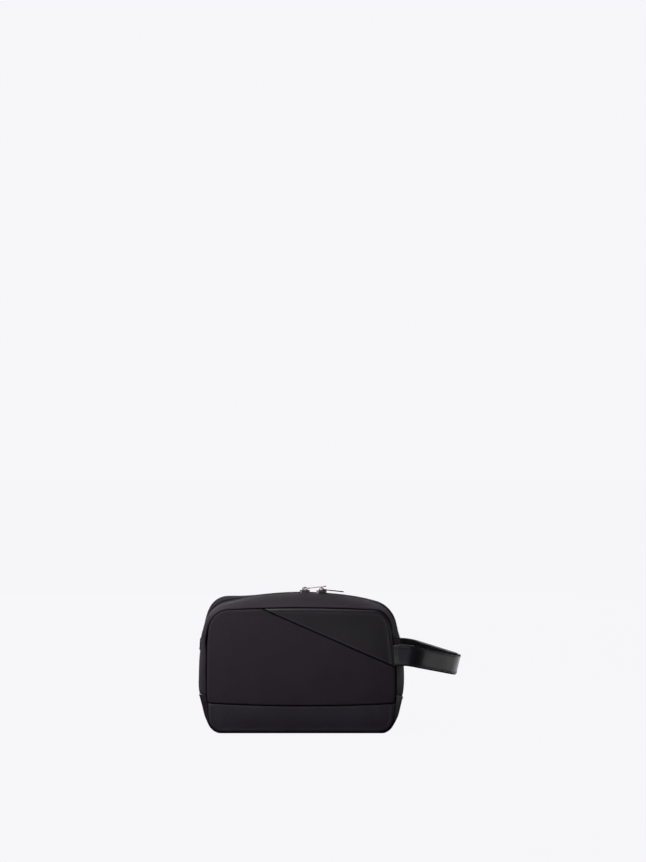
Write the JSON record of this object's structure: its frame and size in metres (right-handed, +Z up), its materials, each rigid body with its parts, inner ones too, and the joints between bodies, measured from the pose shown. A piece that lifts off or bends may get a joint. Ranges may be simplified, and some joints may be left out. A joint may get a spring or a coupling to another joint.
{
  "type": "shaving kit bag",
  "caption": "Padded wash bag with a domed zipped top, leather base and corner panel, lined inside with a slip pocket, and a looped wrist strap at one end.",
  "frame": {"origin": "centre of the flat base the bag stands on", "axes": "+X across the bag towards the wrist strap, -Y out of the front wall, +Z up"},
  "size_m": [0.3095, 0.0998, 0.1706],
  "materials": {
    "nylon": "matte woven nylon",
    "leather": "semi-gloss smooth leather",
    "lining": "smooth woven lining",
    "binding": "matte ribbed tape",
    "padding": "matte foam",
    "zip_tape": "matte woven tape",
    "zip_coil": "satin nylon coil",
    "metal": "polished gunmetal",
    "board": "matte",
    "elastic": "matte ribbed elastic"
  },
  "bodies": {
    "bag": {"left_side_gusset": "nylon", "right_side_gusset": "nylon", "front_shoulder_strips": "nylon", "back_shoulder_strips": "nylon", "front_main_panel": "nylon", "back_main_panel": "nylon", "base_gusset": "leather", "front_corner_panel": "leather", "front_lower_band": "leather", "back_lower_band": "leather", "left_zip_tab": "leather", "right_zip_tab": "leather", "strap_inner_roots": "leather", "strap_outer_roots": "leather", "gusset_lining": "lining", "front_shoulder_linings": "lining", "back_shoulder_linings": "lining", "front_lining": "lining", "back_lining": "lining", "inner_pocket": "lining", "front_seam_binding": "binding", "back_seam_binding": "binding", "front_padding": "padding", "back_padding": "padding", "front_zip_tape_ends": "zip_tape", "back_zip_tape_ends": "zip_tape", "front_zip_coil_ends": "zip_coil", "back_zip_coil_ends": "zip_coil", "base_board": "board", "pocket_elastic": "elastic"},
    "front_lip": {"front_zip_strip": "nylon", "front_strip_lining": "lining", "front_zip_tape": "zip_tape", "front_zip_coil": "zip_coil"},
    "back_lip": {"back_zip_strip": "nylon", "back_strip_lining": "lining", "back_zip_tape": "zip_tape", "back_zip_coil": "zip_coil"},
    "left_slider": {"left_slider_body": "metal", "left_slider_crown": "metal"},
    "right_slider": {"right_slider_body": "metal", "right_slider_crown": "metal"},
    "left_pull": {"left_pull_tab": "metal"},
    "right_pull": {"right_pull_tab": "metal"},
    "strap": {"strap_inner": "leather", "strap_outer": "leather"}
  },
  "joints": [
    {"name": "mouth_front", "type": "hinge", "parent": "bag", "child": "front_lip", "pos_m": [0, -0.046, 0.1485], "axis": [1, 0, 0], "range_deg": [0, 60], "deforming": ["front_zip_tape", "front_zip_coil"]},
    {"name": "mouth_back", "type": "hinge", "parent": "bag", "child": "back_lip", "pos_m": [0, 0.046, 0.1485], "axis": [-1, 0, 0], "range_deg": [0, 60], "deforming": ["back_zip_tape", "back_zip_coil"]},
    {"name": "left_slider_travel", "type": "hinge", "parent": "bag", "child": "left_slider", "pos_m": [0, 0, -0.217], "axis": [0, -1, 0], "range_deg": [0, 11.91]},
    {"name": "right_slider_travel", "type": "hinge", "parent": "bag", "child": "right_slider", "pos_m": [0, 0, -0.217], "axis": [0, 1, 0], "range_deg": [0, 7.69]},
    {"name": "left_pull_swing", "type": "hinge", "parent": "left_slider", "child": "left_pull", "pos_m": [0.00364, 0, 0.16638], "axis": [-0.309, -0.9511, 0.0033], "range_deg": [0, 120]},
    {"name": "right_pull_swing", "type": "hinge", "parent": "right_slider", "child": "right_pull", "pos_m": [0.0238, 0, 0.16566], "axis": [0.1389, -0.9903, -0.0088], "range_deg": [0, 120]},
    {"name": "strap_flex", "type": "hinge", "parent": "bag", "child": "strap", "pos_m": [0.127, 0, 0.0915], "axis": [0, 1, 0], "range_deg": [-25, 28], "stiffness_Nm_per_rad": 0.1, "springref_deg": -2.06}
  ],
  "couplings": [
    {"joint": "mouth_back", "follows": "mouth_front", "ratio": 1},
    {"joint": "left_slider_travel", "follows": "mouth_front", "ratio": 0.19851},
    {"joint": "right_slider_travel", "follows": "mouth_front", "ratio": 0.12816}
  ]
}
